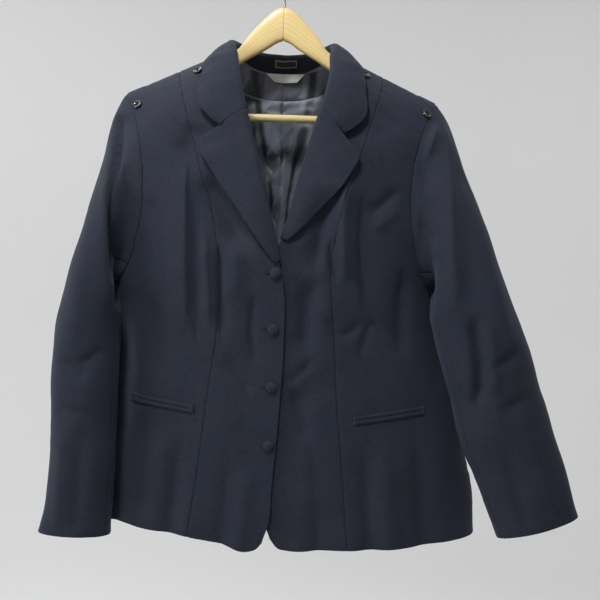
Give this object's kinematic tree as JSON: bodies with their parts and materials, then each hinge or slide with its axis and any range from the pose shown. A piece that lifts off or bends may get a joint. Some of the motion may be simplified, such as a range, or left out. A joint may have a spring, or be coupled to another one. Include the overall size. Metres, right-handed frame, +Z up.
{
  "type": "uniform jacket on a hanger",
  "caption": "Tailored single-breasted uniform jacket with notched lapels, princess seams and welt pockets, hanging on a wooden hanger with a trouser bar.",
  "frame": {"origin": "inside top of the hanger's hook, where a rail bears", "axes": "+Z up, the garment's front faces -Y, +X to the right of someone who looks at the front (the wearer's left)"},
  "size_m": [0.7158, 0.1626, 0.8104],
  "materials": {
    "outer_cloth": "matte fine twill",
    "lining_cloth": "satin",
    "button_cloth": "matte",
    "black_resin": "glossy",
    "wood": "clear lacquer",
    "steel": "bright plated",
    "black_ribbon": "matte",
    "white_ribbon": "matte"
  },
  "bodies": {
    "root": {"care_label": "white_ribbon", "collar": "outer_cloth", "front_button_1": "button_cloth", "front_button_2": "button_cloth", "front_button_3": "button_cloth", "front_button_4": "button_cloth", "hanger_arms": "wood", "hook": "steel", "left_back": "outer_cloth", "left_back_lining": "lining_cloth", "left_front_centre": "outer_cloth", "left_front_side": "outer_cloth", "left_lapel": "outer_cloth", "left_pocket_lower_welt": "outer_cloth", "left_pocket_upper_welt": "outer_cloth", "left_under_sleeve": "outer_cloth", "left_upper_sleeve": "outer_cloth", "neck_facing": "outer_cloth", "right_back": "outer_cloth", "right_back_lining": "lining_cloth", "right_front_centre": "outer_cloth", "right_front_side": "outer_cloth", "right_lapel": "outer_cloth", "right_pocket_lower_welt": "outer_cloth", "right_pocket_upper_welt": "outer_cloth", "right_under_sleeve": "outer_cloth", "right_upper_sleeve": "outer_cloth", "strap_button_1": "black_resin", "strap_button_2": "black_resin", "strap_button_3": "black_resin", "strap_button_4": "black_resin", "trouser_bar": "wood", "woven_label": "black_ribbon"}
  },
  "joints": []
}
